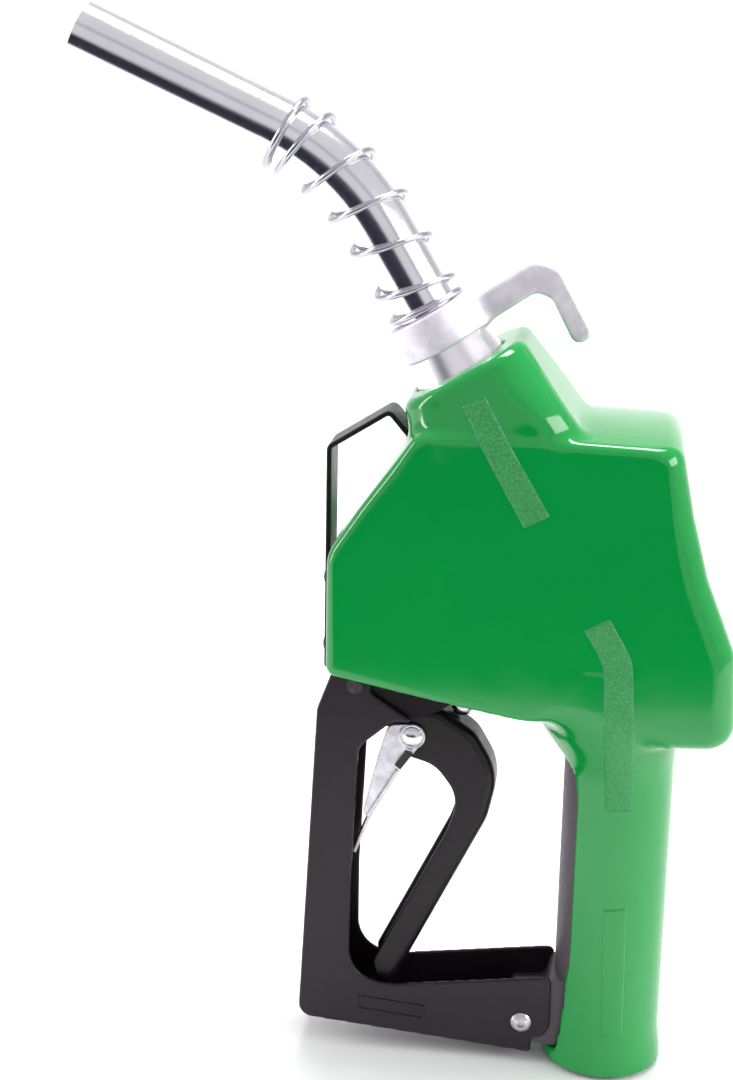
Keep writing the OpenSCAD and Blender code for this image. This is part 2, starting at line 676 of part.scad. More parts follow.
module guard_bolts() color([0.5, 0.5, 0.53])
  for (at = [[-89.5, 145.5], [-89.5, 136.5]]) {
    cross_bar(at, 2.08, -guard_half, guard_half);
    for (y = [-guard_half - 0.5, guard_half]) cross_bar(at, 2.9, y, y + 0.5);
  }

module guard_screw() color([0.72, 0.7, 0.74]) difference() {
  union() {
    cross_bar(screw_at, 2.5, -guard_half - 0.1, guard_half + 2.6);
    intersection() {
      cross_bar(screw_at, 3.6, -guard_half - 2, -guard_half);
      translate([screw_at[0], -guard_half + 3.2, screw_at[1]]) sphere(r = 5.2);
    }
  }
  translate([screw_at[0], -guard_half - 0.6, screw_at[1]]) rotate([90, 0, 0])
    cylinder(r = 1.7, h = 3, $fn = 6);
}

module guard_nut() color([0.6, 0.6, 0.62]) translate([screw_at[0], guard_half, screw_at[1]])
  rotate([-90, 0, 0]) difference() {
    cylinder(r = 4.6, h = 3.4, $fn = 6);
    translate([0, 0, -1]) cylinder(r = 2.55, h = 6);
  }

// ---- Hanger strap ----
strap_half = 8;
strap_t = 1.7;
strap_path = rounded_path([[-101.2, 140, 0], [-101.2, 218.6, 3], [-80.2, 232, 2.6], [-70.2, 220.4, 0]]);
module hanger_strap() color([0.13, 0.12, 0.13]) difference() {
  plate(band(strap_path, strap_t), -strap_half, strap_half);
  for (z = strap_z) translate([-104, 0, z]) rotate([0, 90, 0]) cylinder(r = 2.1, h = 8);
}

module strap_screws() color([0.3, 0.3, 0.32])
  for (z = strap_z) translate([-101.2, 0, z]) rotate([0, 90, 0]) {
    cylinder(r = 2, h = 9);
    intersection() {
      translate([0, 0, -1.6]) cylinder(r = 3.6, h = 1.6);
      translate([0, 0, 3.6]) sphere(r = 5.1);
    }
    translate([0, 0, strap_t]) cylinder(r = 3.4, h = 2);
  }

body_casting();
handle_casting();
cover();
handle_cover();
spout_tube();
spout_bushing();
bushing_o_ring();
spout_set_screw();
spout_spring();
hang_up_hook();
vent_tube();
vent_ferrule();
seat_ring();
poppet_cap();
cap_o_ring();
poppet_spring();
stem_packing();
packing_nut();
check_seat();
check_guide();
check_spring();
diaphragm();
diaphragm_cap();
diaphragm_spring();
cap_screws();
plunger_bush();
latch_ring();
plunger_spring();
guard();
guard_bolts();
guard_screw();
guard_nut();
hanger_strap();
strap_screws();
main_stem();
main_poppet();
poppet_seal();
poppet_nut();
check_poppet();
check_o_ring();
latch_pin();
diaphragm_plate();
latch_plunger();
latch_balls();
lever_pin();
lever();
clip_rivet();
hold_open_clip();
clip_pad();
clip_spring();
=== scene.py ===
import json
from itertools import product
from math import cos, pi, radians, sin, tan

import bpy
import numpy as np
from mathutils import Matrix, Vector


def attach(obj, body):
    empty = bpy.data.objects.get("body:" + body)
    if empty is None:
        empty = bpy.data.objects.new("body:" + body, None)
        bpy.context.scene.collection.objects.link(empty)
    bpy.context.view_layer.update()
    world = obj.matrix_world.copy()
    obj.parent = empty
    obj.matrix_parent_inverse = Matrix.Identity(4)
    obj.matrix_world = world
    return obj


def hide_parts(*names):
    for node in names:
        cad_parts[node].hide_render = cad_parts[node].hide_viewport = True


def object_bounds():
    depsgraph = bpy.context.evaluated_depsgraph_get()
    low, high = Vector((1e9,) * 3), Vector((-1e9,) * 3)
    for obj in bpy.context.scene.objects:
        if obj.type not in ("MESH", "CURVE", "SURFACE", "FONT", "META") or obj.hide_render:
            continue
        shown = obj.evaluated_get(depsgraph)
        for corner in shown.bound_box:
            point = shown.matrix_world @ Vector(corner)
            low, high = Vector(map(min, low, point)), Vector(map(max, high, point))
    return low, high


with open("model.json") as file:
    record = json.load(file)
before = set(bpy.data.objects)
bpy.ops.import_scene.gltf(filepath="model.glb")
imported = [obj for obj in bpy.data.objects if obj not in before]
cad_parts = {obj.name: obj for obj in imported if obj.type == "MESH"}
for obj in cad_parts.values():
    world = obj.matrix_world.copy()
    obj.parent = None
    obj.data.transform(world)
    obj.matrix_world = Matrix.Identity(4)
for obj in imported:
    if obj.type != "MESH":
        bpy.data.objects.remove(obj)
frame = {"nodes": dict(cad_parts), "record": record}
CAD_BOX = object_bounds()
MM = 0.001

# ---- Places shared with the CAD model, in millimetres ----
NECK = np.array([-58.3, 246.1])
NECK_TILT = radians(31)
SPOUT_BEND = radians(35)
BEND_AT = 50.7
BEND_R = 80.0
SPOUT_R = 10.32
COLLAR_LOW, COLLAR_TOP = 8.1, 20.8
PIVOT = (-78.0, 125.0)
RIVET = (-69.9, 117.8)
SCREW = (-28.3, 14.4)
LEVER_HALF = 8.0
GUARD_HALF, GUARD_T = 13.0, 1.8
CLIP_Y, CLIP_T = 8.3, 1.0
COVER_HALF, COVER_WALL = 33.0, 2.6
MOUTH_R = 16.3
STRAP_Z = (147, 171)
SIDES = (("front", -1), ("back", 1))


# ---- Outlines in the mid plane ----
def fillet(a, b, c, steps):
    """Points of the arc of radius b[2] at corner b, between its neighbours."""
    a, p, c2 = (np.array(q[:2], float) for q in (a, b, c))
    u, v = ((q - p) / np.linalg.norm(q - p) for q in (a, c2))
    half = np.arccos(np.clip(u @ v, -1, 1)) / 2
    mid = p + (u + v) / np.linalg.norm(u + v) * b[2] / sin(half)
    start = p + u * b[2] / tan(half) - mid
    turn = (pi - 2 * half) * (-1 if u[0] * v[1] - u[1] * v[0] > 0 else 1)
    angles = turn * np.arange(steps + 1) / steps
    return [
        mid + (start[0] * cos(t) - start[1] * sin(t), start[0] * sin(t) + start[1] * cos(t))
        for t in angles
    ]


def rounded(corners, steps=10, closed=True):
    """Corners (x, z, radius) as a smooth list of points; radius 0 stays sharp."""
    n, points = len(corners), []
    for i, b in enumerate(corners):
        ends = not closed and i in (0, n - 1)
        if ends or b[2] == 0:
            points.append(np.array(b[:2], float))
        else:
            points += fillet(corners[i - 1], b, corners[(i + 1) % n], steps)
    return np.array(points)


def band(path, t):
    """An open path thickened by t on its right hand, as a closed outline."""
    step = np.diff(path, axis=0)
    step /= np.linalg.norm(step, axis=1)[:, None]
    before, after = np.vstack([step[:1], step]), np.vstack([step, step[-1:]])
    middle = before + after
    middle /= np.linalg.norm(middle, axis=1)[:, None]
    reach = t / np.sum(middle * after, axis=1)
    right = np.column_stack([middle[:, 1], -middle[:, 0]]) * reach[:, None]
    return np.vstack([path, (path + right)[::-1]])


# ---- Distance fields: negative inside, in millimetres ----
def line_distance(points, x, z, closed):
    """Distance from mid-plane places to a line through points."""
    best = np.full(np.broadcast(x, z).shape, 1e9)
    last = len(points) if closed else len(points) - 1
    for i in range(last):
        (ax, az), (bx, bz) = points[i], points[(i + 1) % len(points)]
        ex, ez = bx - ax, bz - az
        t = np.clip(((x - ax) * ex + (z - az) * ez) / (ex * ex + ez * ez + 1e-12), 0, 1)
        best = np.minimum(best, (x - ax - t * ex) ** 2 + (z - az - t * ez) ** 2)
    return np.sqrt(best)


def outline_distance(points, x, z):
    """Distance to a closed outline, negative within it."""
    inside = np.zeros(np.broadcast(x, z).shape, bool)
    for (ax, az), (bx, bz) in zip(points, np.roll(points, -1, axis=0)):
        if az != bz:
            inside ^= ((az > z) != (bz > z)) & (x < ax + (bx - ax) * (z - az) / (bz - az))
    return np.where(inside, -1, 1) * line_distance(points, x, z, True)


def slab(flat, y, half, edge):
    """An outline's field carried across to |y| = half, with edges rounded by edge."""
    u, v = flat + edge, np.abs(y) - half + edge
    return np.minimum(np.maximum(u, v), 0) + np.hypot(np.maximum(u, 0), np.maximum(v, 0)) - edge


def melt(a, b, k):
    """Union with a fillet about k wide."""
    h = np.maximum(k - np.abs(a - b), 0) / k
    return np.minimum(a, b) - h * h * k / 4


def cut(a, b, k=0.01):
    """a without b, with the new edge softened by k."""
    return -melt(-a, b, k)


def box(x, y, z, low, high):
    """Field of a block between two corners."""
    return np.maximum.reduce(np.broadcast_arrays(*[
        np.maximum(lo - q, q - hi) for q, lo, hi in zip((x, y, z), low, high)
    ]))


def bar(x, y, z, at, r, y0, y1):
    """Field of a bar of radius r across Y at a mid-plane point."""
    return np.maximum(np.hypot(x - at[0], z - at[1]) - r, np.maximum(y0 - y, y - y1))


def in_neck(x, z):
    """Mid-plane points in the neck's frame: across it, and along it from its mouth."""
    dx, dz = x - NECK[0], z - NECK[1]
    return dx * cos(NECK_TILT) + dz * sin(NECK_TILT), dz * cos(NECK_TILT) - dx * sin(NECK_TILT)


def smooth(t):
    """An eased step from 0 to 1."""
    t = np.clip(t, 0, 1)
    return t * t * (3 - 2 * t)


# ---- Meshes ----
def add_mesh(name, points, faces, body, paint, replaced=(), normals=None):
    """A shown piece from points in millimetres."""
    mesh = bpy.data.meshes.new(name)
    mesh.from_pydata((np.asarray(points) * MM).tolist(), [], [tuple(f) for f in faces])
    mesh.polygons.foreach_set("use_smooth", [True] * len(mesh.polygons))
    mesh.update()
    if normals is not None:
        mesh.normals_split_custom_set_from_vertices(normals.tolist())
    piece = bpy.data.objects.new(name, mesh)
    bpy.context.scene.collection.objects.link(piece)
    mesh.materials.append(paint)
    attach(piece, body)
    if replaced:
        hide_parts(*replaced)
    return piece


def net(values, low, step):
    """Points and quads of a grid's zero level."""
    size = np.array(values.shape) - 1
    window = {
        c: values[c[0]:c[0] + size[0], c[1]:c[1] + size[1], c[2]:c[2] + size[2]]
        for c in product((0, 1), repeat=3)
    }
    signs = sum((w < 0).astype(np.int8) for w in window.values())
    cells = np.argwhere((signs > 0) & (signs < 8))
    number = np.full(size, -1)
    number[tuple(cells.T)] = np.arange(len(cells))
    total, count = np.zeros((len(cells), 3)), np.zeros(len(cells))
    for a in window:
        for axis in range(3):
            if a[axis]:
                continue
            b = tuple(v + (k == axis) for k, v in enumerate(a))
            fa, fb = window[a][tuple(cells.T)], window[b][tuple(cells.T)]
            crossed = (fa < 0) != (fb < 0)
            place = np.tile(np.array(a, float), (len(cells), 1))
            place[crossed, axis] += fa[crossed] / (fa[crossed] - fb[crossed])
            total[crossed] += place[crossed]
            count += crossed
    points = np.array(low) + step * (cells + total / count[:, None])
    quads = []
    for axis in range(3):
        p, q = (axis + 1) % 3, (axis + 2) % 3
        first = np.take(values, range(size[axis]), axis=axis) < 0
        second = np.take(values, range(1, size[axis] + 1), axis=axis) < 0
        edges = np.argwhere(first != second)
        edges = edges[(edges[:, p] > 0) & (edges[:, q] > 0)]
        edges = edges[(edges[:, p] < size[p]) & (edges[:, q] < size[q])]
        outward = first[tuple(edges.T)]
        around = []
        for back_p, back_q in ((1, 1), (0, 1), (0, 0), (1, 0)):
            cell = edges.copy()
            cell[:, p] -= back_p
            cell[:, q] -= back_q
            around.append(number[tuple(cell.T)])
        quad = np.column_stack(around)
        quad[~outward] = quad[~outward][:, ::-1]
        quads.append(quad)
    return points, np.vstack(quads)


def slope(field, points, reach):
    """Unit direction in which a field grows at each point."""
    parts = []
    for axis in range(3):
        ends = []
        for sign in (1, -1):
            moved = points.copy()
            moved[:, axis] += sign * reach
            ends.append(field(*moved.T))
        parts.append(ends[0] - ends[1])
    grown = np.column_stack(parts)
    return grown / np.maximum(np.linalg.norm(grown, axis=1), 1e-9)[:, None]


def moulded(name, field, low, high, step, body, paint, replaced=()):
    """A piece whose surface is a field's zero level inside the given box."""
    axes = [np.arange(lo, hi + step, step) for lo, hi in zip(low, high)]
    grid = np.meshgrid(*axes, indexing="ij", sparse=True)
    values = np.array(np.broadcast_to(field(*grid), [len(a) for a in axes]), np.float64)
    points, quads = net(values, low, step)
    normals = slope(field, points, step / 2)
    return add_mesh(name, points, quads, body, paint, replaced, normals)


def ring_quads(rings, sides):
    """Quads between rings of points that follow one another."""
    return [
        (i * sides + k, i * sides + (k + 1) % sides, (i + 1) * sides + (k + 1) % sides, (i + 1) * sides + k)
        for i in range(rings - 1) for k in range(sides)
    ]


def tube_mesh(path, radius, sides):
    """Points and faces of a round wire along a path, narrowing at its ends."""
    path = np.asarray(path, float)
    along = np.gradient(path, axis=0)
    along /= np.linalg.norm(along, axis=1)[:, None]
    side = np.cross(along[0], (0.3, 0.9, 0.2))
    rings, turns = [], 2 * pi * np.arange(sides) / sides
    radii = np.full(len(path), float(radius))
    radii[[0, -1]] *= 0.55
    for p, t, r in zip(path, along, radii):
        side = side - t * (side @ t)
        side /= np.linalg.norm(side)
        up = np.cross(t, side)
        rings.append(p + r * (np.outer(np.cos(turns), side) + np.outer(np.sin(turns), up)))
    n = len(path)
    caps = [tuple(reversed(range(sides))), tuple(range((n - 1) * sides, n * sides))]
    return np.vstack(rings), ring_quads(n, sides) + caps


# ---- Materials ----
class Paint:
    """A material being built around one Principled shader."""

    def __init__(self, name, colour, metallic=0.0, roughness=0.5, **settings):
        self.material = bpy.data.materials.new(name)
        self.material.use_nodes = True
        self.tree = self.material.node_tree
        self.shader = self.tree.nodes["Principled BSDF"]
        self.colour = colour
        settings.update(Base_Color=(*colour, 1), Metallic=metallic, Roughness=roughness)
        for key, value in settings.items():
            self.shader.inputs[key.replace("_", " ")].default_value = value
        self.place = self.add("ShaderNodeTexCoord").outputs["Object"]

    def add(self, kind, **inputs):
        """A node whose inputs are set to values or fed by other nodes' outputs."""
        node = self.tree.nodes.new(kind)
        for key, value in inputs.items():
            socket = node.inputs[key.replace("_", " ")]
            if isinstance(value, bpy.types.NodeSocket):
                self.tree.links.new(value, socket)
            else:
                socket.default_value = value
        return node

    def turned_to(self, angle, stretch=(1, 1, 1)):
        """The object's coordinates turned about Y, then stretched."""
        turn = self.add("ShaderNodeMapping", Vector=self.place, Rotation=(0, angle, 0))
        return self.add("ShaderNodeMapping", Vector=turn.outputs[0], Scale=stretch).outputs[0]

    def noise(self, size, detail=4, place=None, rough=0.55):
        """Noise whose blotches are about size millimetres across."""
        return self.add(
            "ShaderNodeTexNoise", Vector=place or self.place, Scale=1 / (size * MM),
            Detail=detail, Roughness=rough,
        ).outputs["Fac"]

    def cells(self, size):
        """Rounded grains about size millimetres apart."""
        return self.add(
            "ShaderNodeTexVoronoi", Vector=self.place, Scale=1 / (size * MM)
        ).outputs["Distance"]

    def spread(self, value, from_low, from_high, to_low, to_high):
        """A value mapped from one range to another."""
        return self.add(
            "ShaderNodeMapRange", Value=value, From_Min=from_low, From_Max=from_high,
            To_Min=to_low, To_Max=to_high,
        ).outputs[0]

    def shade(self, value, dark, light, low=0.3, high=0.7):
        """Colour between dark and light multiples of the base colour."""
        ramp = self.tree.nodes.new("ShaderNodeValToRGB")
        self.tree.links.new(value, ramp.inputs[0])
        for stop, place, share in zip(ramp.color_ramp.elements, (low, high), (dark, light)):
            stop.position = place
            tint = share if isinstance(share, tuple) else tuple(share * c for c in self.colour)
            stop.color = (*tint, 1)
        self.tree.links.new(ramp.outputs[0], self.shader.inputs["Base Color"])
        return ramp.outputs[0]

    def rough(self, value, low, high):
        """Roughness that varies between low and high."""
        found = self.spread(value, 0.3, 0.7, low, high)
        self.tree.links.new(found, self.shader.inputs["Roughness"])

    def bump(self, height, depth, strength=1.0):
        """Adds relief of about depth millimetres under what is there already."""
        node = self.add("ShaderNodeBump", Height=height, Distance=depth * MM, Strength=strength)
        old = self.shader.inputs["Normal"].links
        if old:
            self.tree.links.new(old[0].from_socket, node.inputs["Normal"])
        self.tree.links.new(node.outputs[0], self.shader.inputs["Normal"])

    def worn_edges(self, colour_out, bright, low=0.52, high=0.62):
        """Mixes in a brighter colour along convex edges."""
        point = self.add("ShaderNodeNewGeometry").outputs["Pointiness"]
        chips = self.spread(self.noise(2.5, 6), 0.35, 0.65, -0.05, 0.05)
        edge = self.tree.nodes.new("ShaderNodeMath")
        self.tree.links.new(point, edge.inputs[0])
        self.tree.links.new(chips, edge.inputs[1])
        share = self.spread(edge.outputs[0], low, high, 0, 1)
        mix = self.tree.nodes.new("ShaderNodeMix")
        mix.data_type = "RGBA"
        self.tree.links.new(share, mix.inputs[0])
        self.tree.links.new(colour_out, mix.inputs[6])
        mix.inputs[7].default_value = (*bright, 1)
        self.tree.links.new(mix.outputs[2], self.shader.inputs["Base Color"])


def moulded_vinyl(name, stipple):
    """Glossy soft PVC; the grip panels are finely stippled."""
    p = Paint(name, (0.0015, 0.275, 0.047), roughness=0.1, Specular_IOR_Level=0.62)
    if stipple:
        p.shade(p.cells(0.9), (0.03, 0.34, 0.085), (0.014, 0.25, 0.055), 0.1, 0.6)
        p.rough(p.noise(0.8, 6), 0.4, 0.5)
        p.bump(p.cells(0.9), 0.3, 1.0)
        p.bump(p.noise(0.4, 4), 0.08, 0.8)
    else:
        p.shade(p.noise(45, 3), 0.96, 1.04)
        p.rough(p.noise(9, 6), 0.08, 0.14)
        p.bump(p.noise(14, 2), 0.05, 0.2)
        p.bump(p.noise(0.9, 3), 0.006, 0.35)
    return p.material


def cast_metal(name, colour, grain, roughness, metallic=1.0, edge=None):
    """Tumbled or sand-cast metal with a fine skin."""
    p = Paint(name, colour, metallic=metallic, roughness=roughness)
    tone = p.shade(p.noise(6, 8, rough=0.65), 0.82, 1.1)
    p.rough(p.noise(1.6, 8), roughness - 0.07, roughness + 0.1)
    p.bump(p.noise(grain, 5), grain * 0.09, 0.55)
    p.bump(p.cells(grain * 2.6), grain * 0.05, 0.3)
    if edge:
        p.worn_edges(tone, edge)
    return p.material


def body_castings(name):
    """The handle's grey casting, darker from the fork upwards."""
    p = Paint(name, (0.105, 0.088, 0.105), metallic=0.5, roughness=0.5, Specular_IOR_Level=0.3)
    height = p.add("ShaderNodeSeparateXYZ", Vector=p.place).outputs[2]
    # Colour goes from grey to near black between 112 and 122 mm up
    p.shade(p.spread(height, 112 * MM, 122 * MM, 0, 1), (0.105, 0.088, 0.105), (0.012, 0.008, 0.011))
    p.rough(p.noise(1.6, 8), 0.42, 0.6)
    p.bump(p.noise(0.6, 5), 0.05, 0.55)
    p.bump(p.cells(1.6), 0.03, 0.3)
    return p.material


def drawn_metal(name, colour, roughness, tilt=0.0, stretch=(1, 1, 14), depth=0.012):
    """Polished, drawn or turned metal: fine lines across the stretched direction."""
    p = Paint(name, colour, metallic=1.0, roughness=roughness)
    lines = p.turned_to(tilt, stretch)
    fine = p.noise(3.0, 8, lines, 0.7)
    p.shade(p.noise(22, 4), 0.93, 1.04)
    p.rough(fine, roughness - 0.03, roughness + 0.06)
    p.bump(fine, depth, 0.35)
    p.bump(p.noise(5, 7, rough=0.6), depth * 0.8, 0.22)
    return p.material


def plated_metal(name, colour, roughness, blotch=3.0):
    """Zinc-plated sheet or screw: soft crystalline mottling."""
    p = Paint(name, colour, metallic=1.0, roughness=roughness)
    p.shade(p.noise(blotch, 6, rough=0.6), 0.72, 1.06)
    p.rough(p.noise(blotch * 0.7, 8), roughness - 0.08, roughness + 0.12)
    p.bump(p.cells(blotch * 0.35), 0.012, 0.3)
    p.bump(p.noise(0.5, 4), 0.006, 0.4)
    return p.material


def satin_paint(name, colour, roughness, orange_peel=0.02, bright=(0.09, 0.08, 0.09)):
    """Baked paint with a fine skin and light wear on its edges."""
    p = Paint(name, colour, roughness=roughness, Specular_IOR_Level=0.34)
    tone = p.shade(p.noise(12, 6, rough=0.6), 0.88, 1.12)
    p.rough(p.noise(2.4, 8), roughness - 0.05, roughness + 0.06)
    p.bump(p.noise(1.1, 4), orange_peel, 0.6)
    p.bump(p.noise(0.3, 3), orange_peel * 0.25, 0.5)
    p.worn_edges(tone, bright, 0.56, 0.72)
    return p.material


def seal_rubber(name):
    p = Paint(name, (0.018, 0.018, 0.019), roughness=0.62, Sheen_Weight=0.15, Sheen_Roughness=0.4)
    p.shade(p.noise(2.0, 6), 0.7, 1.5)
    p.rough(p.noise(0.8, 6), 0.55, 0.75)
    p.bump(p.noise(0.25, 4), 0.01, 0.6)
    return p.material


VINYL = moulded_vinyl("cover_vinyl", False)
STIPPLE = moulded_vinyl("cover_stipple", True)
PAINTS = {
    "cover_vinyl": VINYL,
    "casting": body_castings("casting"),
    "spout_aluminium": drawn_metal("spout_aluminium", (0.84, 0.83, 0.88), 0.13, -NECK_TILT),
    "bushing_aluminium": drawn_metal("bushing_aluminium", (0.97, 0.94, 1.0), 0.22, NECK_TILT,
                                     (1, 1, 30), 0.02),
    "hook_casting": cast_metal("hook_casting", (0.9, 0.83, 0.94), 0.45, 0.42, 0.35,
                               (0.86, 0.84, 0.89)),
    "seal_rubber": seal_rubber("seal_rubber"),
    "spring_steel": drawn_metal("spring_steel", (0.52, 0.51, 0.56), 0.22, 0.0, (1, 1, 1), 0.006),
    "dark_wire": drawn_metal("dark_wire", (0.07, 0.065, 0.07), 0.35, 0.0, (1, 1, 1), 0.006),
    "screw_steel": plated_metal("screw_steel", (0.68, 0.66, 0.72), 0.28, 1.6),
    "dark_screw": satin_paint("dark_screw", (0.01, 0.006, 0.009), 0.45),
    "inner_steel": drawn_metal("inner_steel", (0.6, 0.6, 0.64), 0.25, 0.0, (1, 1, 8)),
    "valve_brass": drawn_metal("valve_brass", (0.74, 0.55, 0.24), 0.24, 0.0, (1, 1, 10)),
    "cap_aluminium": cast_metal("cap_aluminium", (0.62, 0.62, 0.65), 0.5, 0.36),
    "guard_paint": satin_paint("guard_paint", (0.014, 0.008, 0.0125), 0.36, 0.012,
                               (0.06, 0.05, 0.06)),
    "lever_paint": satin_paint("lever_paint", (0.006, 0.0035, 0.0055), 0.36, 0.012,
                               (0.045, 0.038, 0.045)),
    "strap_paint": satin_paint("strap_paint", (0.006, 0.0045, 0.006), 0.35, 0.012,
                               (0.05, 0.045, 0.05)),
    "zinc_plate": plated_metal("zinc_plate", (0.7, 0.68, 0.74), 0.3, 4.0),
    "rivet_steel": drawn_metal("rivet_steel", (0.82, 0.81, 0.86), 0.16, pi / 2, (1, 1, 6)),
}
for row in frame["record"]["subparts"]:
    node = frame["nodes"][row["node"]]
    node.data.materials.clear()
    node.data.materials.append(PAINTS[row["material_slot"]])

# ---- Cover ----
BODY = rounded([
    (-97.4, 145.8, 4), (-97.4, 187.4, 14), (-68.8, 231, 8), (-30, 231, 12), (15.4, 229.4, 7),
    (20.2, 205, 40), (26, 184, 40), (36.6, 158, 20), (38, 126.6, 9), (16, 125.5, 6),
    (-26, 133.2, 6),
])
NECK_SHIFT = 2.3


def handle_radius(z):
    """Flared at the lower end, straight, then swelling into the body."""
    return 20 + smooth((14 - z) / 14) + 6.5 * smooth((z - 108) / 28)


def cover_skin(x, y, z):
    """The cover's outer surface before its openings."""
    u, w = in_neck(x, z)
    # Edges: wide at the back, crisp elsewhere, a thin lip along the underside
    edge = 3.6 - 0.8 * smooth((z - 215) / 10)
    lip = 1.8 + 8 * smooth((x + 34) / 18)
    edge = edge + (lip - edge) * smooth((152 - z) / 14)
    edge = edge + (8.5 - edge) * smooth((x - 5) / 13) * smooth((238 - z) / 14)
    crown = 0.9 * ((x + 30) ** 2 / 65 ** 2 + (z - 182) ** 2 / 50 ** 2)
    sag = 2.2 * (y / COVER_HALF) ** 2 * smooth((z - 200) / 24)
    body = slab(outline_distance(BODY, x, z + sag), y, COVER_HALF - np.minimum(crown, 1.6), edge)
    # Neck: an oblong collar whose front and back run out into the body's sides
    t = smooth(-w / 26)
    low_u = NECK_SHIFT - 22 - 0.3 * np.clip(-w, 0, 30)
    high_u = NECK_SHIFT + 22 + 0.1 * np.clip(-w, 0, 60)
    half_u, mid_u = (high_u - low_u) / 2, (high_u + low_u) / 2
    corner = 15 - 3 * t
    half_y = 27.5 + 4.6 * t - 10 * smooth((-w - 34) / 36)
    qu, qy = np.abs(u - mid_u) - half_u + corner, np.abs(y) - half_y + corner
    across = np.minimum(np.maximum(qu, qy), 0) + np.hypot(np.maximum(qu, 0), np.maximum(qy, 0))
    rim = 3.2
    top, side = w + rim, across - corner + rim
    neck = np.minimum(np.maximum(top, side), 0)
    neck = neck + np.hypot(np.maximum(top, 0), np.maximum(side, 0)) - rim
    neck = np.maximum(neck, -72 - w)
    # Handle: round, swelling until it is as wide as the body
    shift = -5 * smooth((z - 108) / 28)
    wide_y = 1 + 0.17 * smooth((z - 98) / 34)
    handle = (np.hypot(x - shift, y / wide_y) - handle_radius(z)) * 0.95
    handle = np.maximum(np.maximum(handle, z - 150), -0.5 - z)
    return melt(melt(body, neck, 3), handle, 5)


def cover_field(x, y, z):
    """The cover hollowed out, with its openings."""
    skin = cover_skin(x, y, z)
    u, w = in_neck(x, z)
    shell = cut(skin, np.maximum(skin + COVER_WALL, w + 4.5))
    # Open lower end, mouth round the spout bushing, opening for guard and lever
    shell = cut(shell, np.maximum(np.hypot(x, y) - handle_radius(z) + COVER_WALL, z - 30), 0.6)
    shell = cut(shell, np.maximum(np.hypot(u, y) - MOUTH_R, -50 - w), 0.8)
    shell = cut(shell, box(x, y, z, (-110, -13.6, 100), (-36, 13.6, 150)), 0.8)
    # Slot down the handle
    slot = 12.2 + 2.8 * np.clip((z - 4.4) / 40.6, 0, 1)
    slot = np.maximum(np.abs(y) - slot, box(x, y, z, (-42, -20, 4.4), (-1, 20, 138)))
    shell = cut(shell, slot, 0.8)
    # Slot for the strap's end, and holes for its screws
    strap_angle = radians(49.2)
    dx, dz = x + 80.2, z - 232
    s = dx * cos(strap_angle) - dz * sin(strap_angle)
    n = dx * sin(strap_angle) + dz * cos(strap_angle)
    shell = cut(shell, box(s, y, n, (6, -8.4, -2.1), (18, 8.4, 0.4)), 0.3)
    for hole in STRAP_Z:
        shell = cut(shell, np.maximum(np.hypot(y, z - hole) - 2.4, x + 92), 0.3)
    return shell


moulded("cover_shell", cover_field, (-99, -36.5, -2.2), (40.5, 36.5, 262), 1.05,
        "nozzle_body", VINYL, ["cover", "handle_cover"])


def skin_depth(x, z, sign):
    """Where the cover's surface lies across from mid-plane points."""
    y = np.full(np.shape(x), 45.0 * sign)
    for _ in range(60):
        y = y - sign * 0.9 * cover_skin(x, y, z)
    return y


def grip_panel(name, left, right, sign, height, rows, columns, roughened):
    """A thin raised panel lying on the cover between two edge lines."""
    left, right = (rounded(line, 6, False) for line in (left, right))

    def at(line, t):
        run = np.r_[0, np.cumsum(np.linalg.norm(np.diff(line, axis=0), axis=1))]
        return np.column_stack([np.interp(t * run[-1], run, line[:, k]) for k in (0, 1)])

    t, s = np.meshgrid(np.linspace(0, 1, rows), np.linspace(0, 1, columns), indexing="ij")
    flat_t = t.ravel()
    a, b = at(left, flat_t), at(right, flat_t)
    place = a + (b - a) * s.ravel()[:, None]
    y = skin_depth(place[:, 0], place[:, 1], sign)
    base = np.column_stack([place[:, 0], y, place[:, 1]])
    out = slope(cover_skin, base, 0.4)
    rim = np.minimum.reduce([t.ravel(), 1 - t.ravel()]) * (rows - 1)
    rim = np.minimum(rim, np.minimum(s.ravel(), 1 - s.ravel()) * (columns - 1))
    rise = height * smooth(rim / 1.5)
    if roughened:
        grains = np.random.default_rng(7).normal(0, 0.03, rows * columns)
        rise = rise + np.where(rim > 1, grains, 0)
    top = base + out * (rise - 0.02)[:, None]
    under = base - out * 0.5
    n = rows * columns
    quads = []
    for i in range(rows - 1):
        for j in range(columns - 1):
            q = (i * columns + j, i * columns + j + 1, (i + 1) * columns + j + 1, (i + 1) * columns + j)
            quads.append(q if sign < 0 else q[::-1])
            low = tuple(n + k for k in q)
            quads.append(low[::-1] if sign < 0 else low)
    ring = list(range(columns))
    ring += [i * columns + columns - 1 for i in range(1, rows)]
    ring += [(rows - 1) * columns + j for j in range(columns - 2, -1, -1)]
    ring += [i * columns for i in range(rows - 2, 0, -1)]
    for k, a0 in enumerate(ring):
        b0 = ring[(k + 1) % len(ring)]
        wall = (a0, n + a0, n + b0, b0)
        quads.append(wall if sign < 0 else wall[::-1])
    add_mesh(name, np.vstack([top, under]), quads, "nozzle_body",
             STIPPLE if roughened else VINYL)


